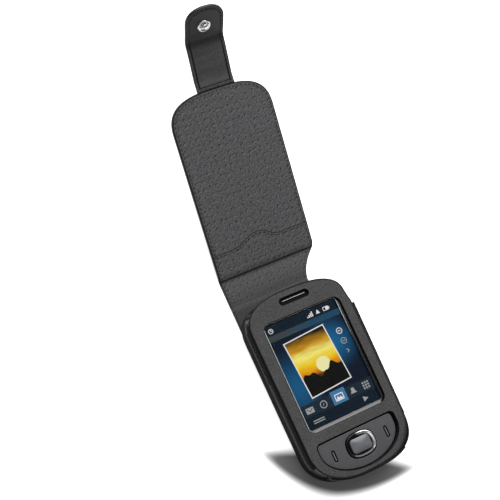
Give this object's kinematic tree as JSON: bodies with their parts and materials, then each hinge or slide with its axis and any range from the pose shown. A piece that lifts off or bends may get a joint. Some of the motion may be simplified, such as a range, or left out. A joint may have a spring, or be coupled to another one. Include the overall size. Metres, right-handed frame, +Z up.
{
  "type": "personal digital assistant",
  "caption": "Touch-screen handheld organiser held in a black leather flip case, with a hinged cover folded open and a snap strap at its end",
  "frame": {"origin": "the middle of the case's back face, on which it lies", "axes": "+X across the screen to its right, +Y towards the end where the flap is hinged, +Z up out of the screen"},
  "size_m": [0.0606, 0.2393, 0.0743],
  "materials": {
    "black_leather": "fine-grain black leather with stitched edges",
    "grey_lining": "dark grey pebbled lining leather",
    "stiff_board": "pressed fibre board inside the cover",
    "soft_plastic": "dark grey soft-touch plastic",
    "black_plastic": "black moulded plastic",
    "silver_plastic": "silver-painted plastic trim",
    "chrome": "bright plated metal",
    "steel": "plain steel",
    "screen_glass": "clear touch panel",
    "display": "colour display module",
    "circuit_board": "green circuit board",
    "battery": "grey wrapped battery pack",
    "rubber": "moulded keypad rubber"
  },
  "bodies": {
    "holder": {"case_back": "black_leather", "case_front": "black_leather", "case_left_wall": "black_leather", "case_right_wall": "black_leather", "case_bottom_wall": "black_leather", "snap_socket": "chrome", "front_housing": "black_plastic", "rear_housing": "black_plastic", "battery_door": "black_plastic", "housing_screw_1": "steel", "housing_screw_2": "steel", "housing_screw_3": "steel", "housing_screw_4": "steel", "display_bezel": "silver_plastic", "touch_panel": "screen_glass", "display_module": "display", "keypad_panel": "soft_plastic", "key_board": "circuit_board", "dome_sheet": "steel", "battery": "battery", "main_board": "circuit_board", "shield_can": "steel", "camera_module": "black_plastic", "camera_window": "screen_glass", "loudspeaker": "black_plastic", "vibration_motor": "steel", "antenna": "black_plastic", "earpiece": "black_plastic", "ear_grille": "silver_plastic", "microphone": "steel", "sim_holder": "steel", "memory_card_slot": "steel", "usb_socket": "steel"},
    "spine": {"flap_spine": "grey_lining"},
    "cover": {"cover_leather": "black_leather", "cover_stiffener": "stiff_board", "cover_lining": "grey_lining", "hinge_lining": "grey_lining", "cover_badge": "chrome", "strap_root": "black_leather"},
    "strap": {"strap_bridge": "black_leather"},
    "strap_tip": {"strap_end": "black_leather", "snap_stud": "chrome", "snap_cap": "chrome"},
    "pad_rocker": {"navigation_rocker": "rubber"},
    "pad_ring": {"navigation_ring": "chrome"},
    "pad_key": {"centre_key": "soft_plastic"},
    "left_key": {"call_key": "silver_plastic"},
    "right_key": {"end_key": "silver_plastic"},
    "volume": {"volume_slider": "silver_plastic"},
    "power": {"power_button": "silver_plastic"},
    "pen": {"stylus": "black_plastic"}
  },
  "joints": [
    {"name": "spine_fold", "type": "hinge", "parent": "holder", "child": "spine", "pos_m": [0, 0.0512, 0.001], "axis": [1, 0, 0], "range_deg": [0, 90]},
    {"name": "cover_fold", "type": "hinge", "parent": "spine", "child": "cover", "pos_m": [0, 0.0688, 0.001], "axis": [1, 0, 0], "range_deg": [-24.4, 65.6]},
    {"name": "strap_fold", "type": "hinge", "parent": "cover", "child": "strap", "pos_m": [0, 0.16296, 0.04371], "axis": [1, 0, 0], "range_deg": [-11.6, 78.4]},
    {"name": "strap_end_fold", "type": "hinge", "parent": "strap", "child": "strap_tip", "pos_m": [0, 0.17947, 0.05571], "axis": [1, 0, 0], "range_deg": [-30, 60]},
    {"name": "pad_up_down", "type": "hinge", "parent": "holder", "child": "pad_rocker", "pos_m": [0, -0.0365, 0.01175], "axis": [1, 0, 0], "range_deg": [-2.5, 2.5], "stiffness_Nm_per_rad": 0.05},
    {"name": "pad_left_right", "type": "hinge", "parent": "pad_rocker", "child": "pad_ring", "pos_m": [0, -0.0365, 0.01175], "axis": [0, 1, 0], "range_deg": [-2.5, 2.5], "stiffness_Nm_per_rad": 0.05},
    {"name": "centre_key_press", "type": "slide", "parent": "pad_ring", "child": "pad_key", "axis": [0, 0, -1], "range_m": [0, 0.0004], "stiffness_N_per_m": 800},
    {"name": "call_key_press", "type": "slide", "parent": "holder", "child": "left_key", "axis": [0, 0, -1], "range_m": [0, 0.0004], "stiffness_N_per_m": 800},
    {"name": "end_key_press", "type": "slide", "parent": "holder", "child": "right_key", "axis": [0, 0, -1], "range_m": [0, 0.0004], "stiffness_N_per_m": 800},
    {"name": "volume_slide", "type": "slide", "parent": "holder", "child": "volume", "axis": [0, 1, 0], "range_m": [-0.0015, 0.0015], "stiffness_N_per_m": 400},
    {"name": "power_press", "type": "slide", "parent": "holder", "child": "power", "axis": [0, -1, 0], "range_m": [0, 0.0004], "stiffness_N_per_m": 800},
    {"name": "stylus_draw", "type": "slide", "parent": "holder", "child": "pen", "axis": [0, -1, 0], "range_m": [0, 0.085]}
  ]
}
